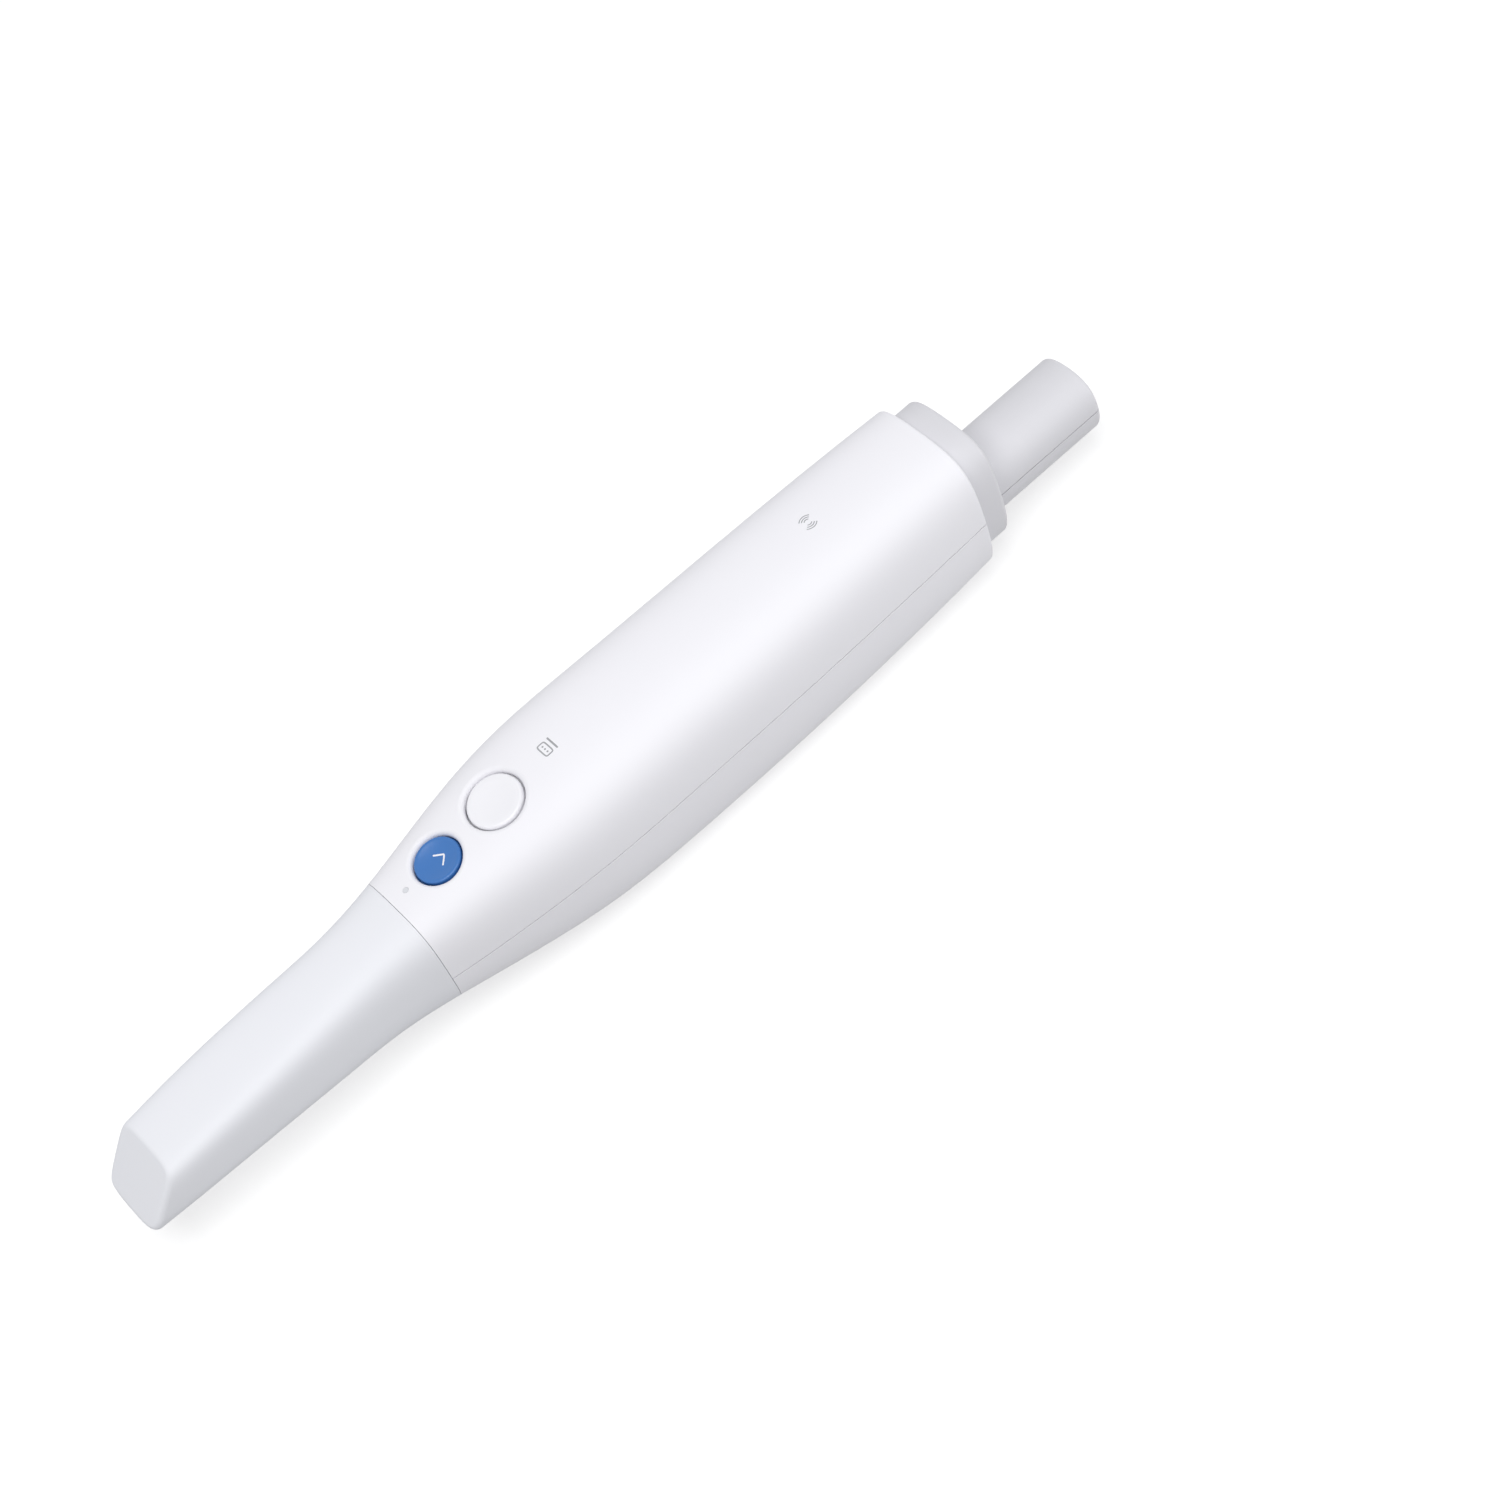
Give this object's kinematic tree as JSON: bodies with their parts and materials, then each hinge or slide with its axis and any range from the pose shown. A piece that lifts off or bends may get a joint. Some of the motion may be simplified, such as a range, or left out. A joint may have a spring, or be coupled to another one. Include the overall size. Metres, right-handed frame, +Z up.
{
  "type": "wireless intraoral scanner",
  "caption": "Handheld wireless dental scanner with a slim push-on mirror tip, a rounded white body with round thumb buttons on top, and a rod-shaped battery in a stepped rear end.",
  "frame": {"origin": "centre of the bounding box in X and Y, on the rest face under the belly", "axes": "+X from the mirror end to the battery end, +Y to the side, +Z up on the button side"},
  "size_m": [0.3138, 0.044, 0.0477],
  "materials": {
    "cover_white": "satin moulded white",
    "tip_white": "fine matt moulded grey white",
    "button_blue": "satin blue",
    "button_white": "satin white",
    "battery_white": "matt light grey",
    "mirror": "front coated",
    "glass": "coated optical glass",
    "light_guide": "clear grey light guide",
    "seal_rubber": "matt black",
    "black_plastic": "matt black",
    "nose_grey": "matt dark grey",
    "bench_metal": "milled",
    "black_metal": "matt black",
    "steel": "bright",
    "board_green": "solder mask",
    "contact_brass": "plated",
    "cell_wrap": "shrink wrap"
  },
  "bodies": {
    "handle": {"nose": "nose_grey", "nose_window": "glass", "nose_seal": "seal_rubber", "upper_cover": "cover_white", "lower_cover": "cover_white", "rear_collar": "battery_white", "battery_sleeve": "black_plastic", "contact_board": "board_green", "contact_pins": "contact_brass", "scan_switch": "black_plastic", "uv_switch": "black_plastic", "button_board": "board_green", "button_board_screws": "steel", "status_light": "light_guide", "status_led": "black_plastic", "optical_bench": "bench_metal", "bench_screws": "steel", "projector_barrel": "black_metal", "projector_lens": "glass", "light_engine": "black_metal", "heat_sink": "bench_metal", "main_board": "board_green", "main_board_screws": "steel", "processor_shield": "steel", "wireless_module": "steel", "left_camera": "black_metal", "right_camera": "black_metal", "left_camera_lens": "glass", "right_camera_lens": "glass", "left_sensor_board": "board_green", "right_sensor_board": "board_green"},
    "tip": {"scan_tip": "tip_white", "tip_mirror": "mirror"},
    "scan_key": {"scan_button": "button_blue", "scan_plunger": "black_plastic"},
    "uv_key": {"uv_button": "button_white", "uv_plunger": "black_plastic"},
    "battery": {"battery_upper_shell": "battery_white", "battery_lower_shell": "battery_white", "battery_contacts": "contact_brass", "battery_board": "board_green", "battery_cell": "cell_wrap", "cell_spacer": "black_plastic"}
  },
  "joints": [
    {"name": "tip_slide", "type": "slide", "parent": "handle", "child": "tip", "axis": [-1, 0, 0], "range_m": [0, 0.05]},
    {"name": "scan_press", "type": "slide", "parent": "handle", "child": "scan_key", "axis": [0.1515, 0, -0.9885], "range_m": [0, 0.0006], "stiffness_N_per_m": 700, "springref_m": -0.0006},
    {"name": "uv_press", "type": "slide", "parent": "handle", "child": "uv_key", "axis": [0.1515, 0, -0.9885], "range_m": [0, 0.0006], "stiffness_N_per_m": 700, "springref_m": -0.0006},
    {"name": "battery_slide", "type": "slide", "parent": "handle", "child": "battery", "axis": [1, 0, 0], "range_m": [0, 0.056]}
  ]
}
